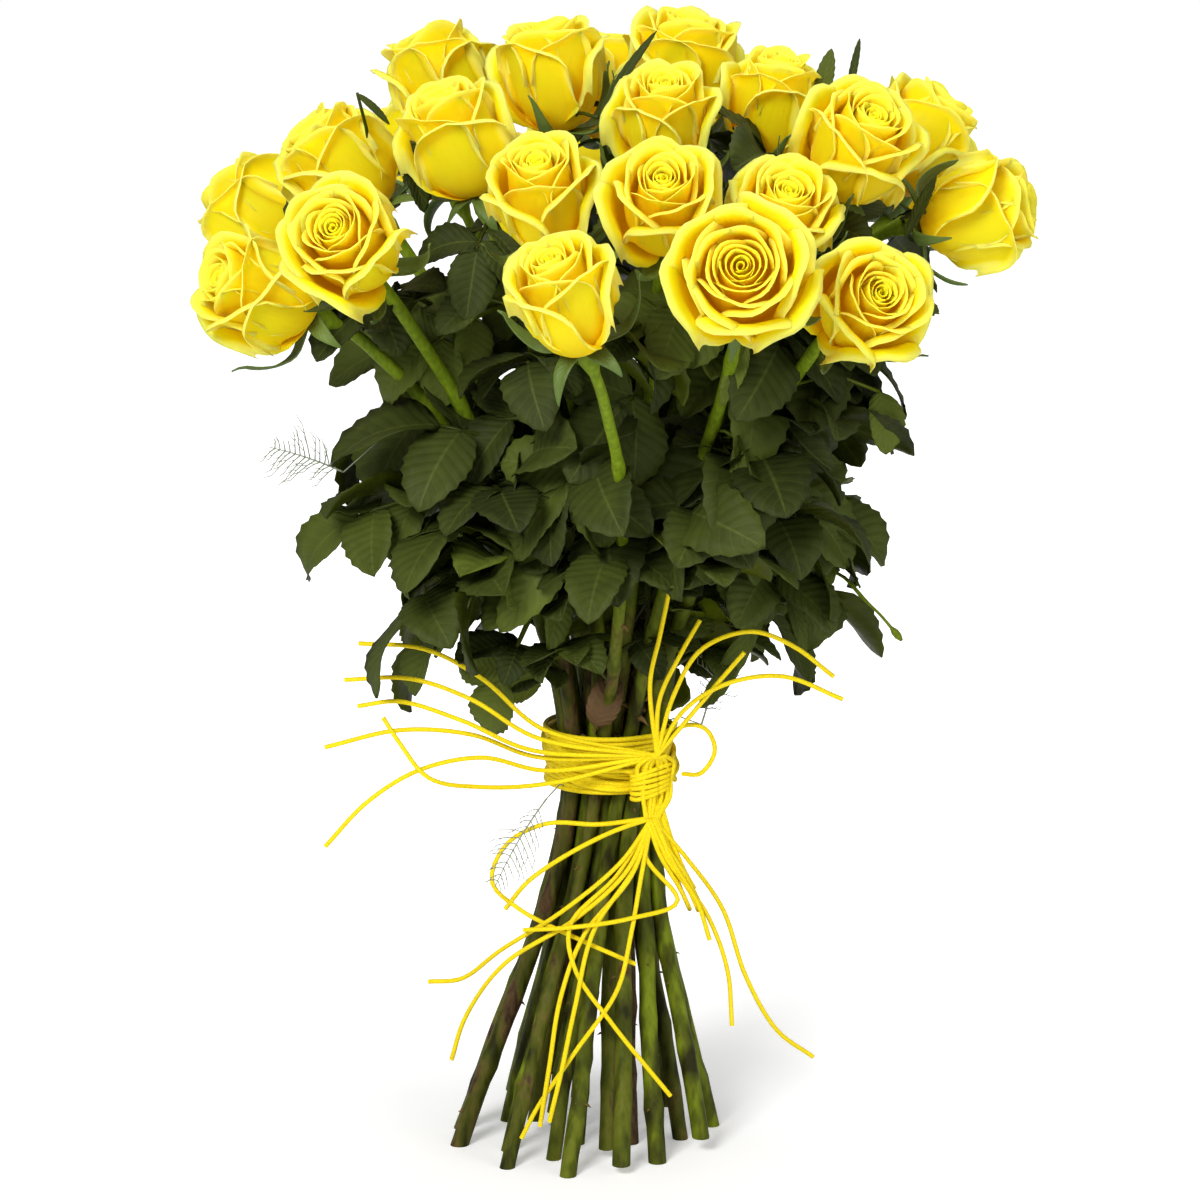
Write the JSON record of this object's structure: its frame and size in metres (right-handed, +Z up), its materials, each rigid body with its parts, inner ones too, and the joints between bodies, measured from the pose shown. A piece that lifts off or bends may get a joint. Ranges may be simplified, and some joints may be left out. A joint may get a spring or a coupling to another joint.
{
  "type": "bouquet of roses",
  "caption": "Hand-tied bunch of yellow roses on green cut stems, bound at the waist with thick yellow twine whose knotted ends spray out, standing on its stem ends.",
  "frame": {"origin": "on the surface the bouquet stands on, under the middle of its box", "axes": "+Z up along the bundle of stems; the knot in the twine faces -Y; +X is to the right as the knot is seen"},
  "size_m": [0.3574, 0.4089, 0.4913],
  "materials": {
    "stem": "satin, mottled olive green with brown streaks",
    "petal": "soft matte petal, paler at the rims and orange-yellow in the folds",
    "leaf": "waxy satin dark green with pale veins",
    "twine": "dyed twisted fibre"
  },
  "bodies": {
    "root": {"stem_01": "stem", "bloom_01": "petal", "stem_02": "stem", "bloom_02": "petal", "stem_03": "stem", "bloom_03": "petal", "stem_04": "stem", "bloom_04": "petal", "stem_05": "stem", "bloom_05": "petal", "stem_06": "stem", "bloom_06": "petal", "stem_07": "stem", "bloom_07": "petal", "stem_08": "stem", "bloom_08": "petal", "stem_09": "stem", "bloom_09": "petal", "stem_10": "stem", "bloom_10": "petal", "stem_11": "stem", "bloom_11": "petal", "stem_12": "stem", "bloom_12": "petal", "stem_13": "stem", "bloom_13": "petal", "stem_14": "stem", "bloom_14": "petal", "stem_15": "stem", "bloom_15": "petal", "stem_16": "stem", "bloom_16": "petal", "stem_17": "stem", "bloom_17": "petal", "stem_18": "stem", "bloom_18": "petal", "stem_19": "stem", "bloom_19": "petal", "stem_20": "stem", "bloom_20": "petal", "stem_21": "stem", "bloom_21": "petal", "stem_22": "stem", "bloom_22": "petal", "stem_23": "stem", "bloom_23": "petal", "stem_24": "stem", "bloom_24": "petal", "leaf_01": "leaf", "leaf_02": "leaf", "leaf_03": "leaf", "leaf_04": "leaf", "leaf_05": "leaf", "leaf_06": "leaf", "leaf_07": "leaf", "leaf_08": "leaf", "twine_band": "twine", "twine_knot": "twine", "twine_ends_up": "twine", "twine_ends_down": "twine"}
  },
  "joints": []
}
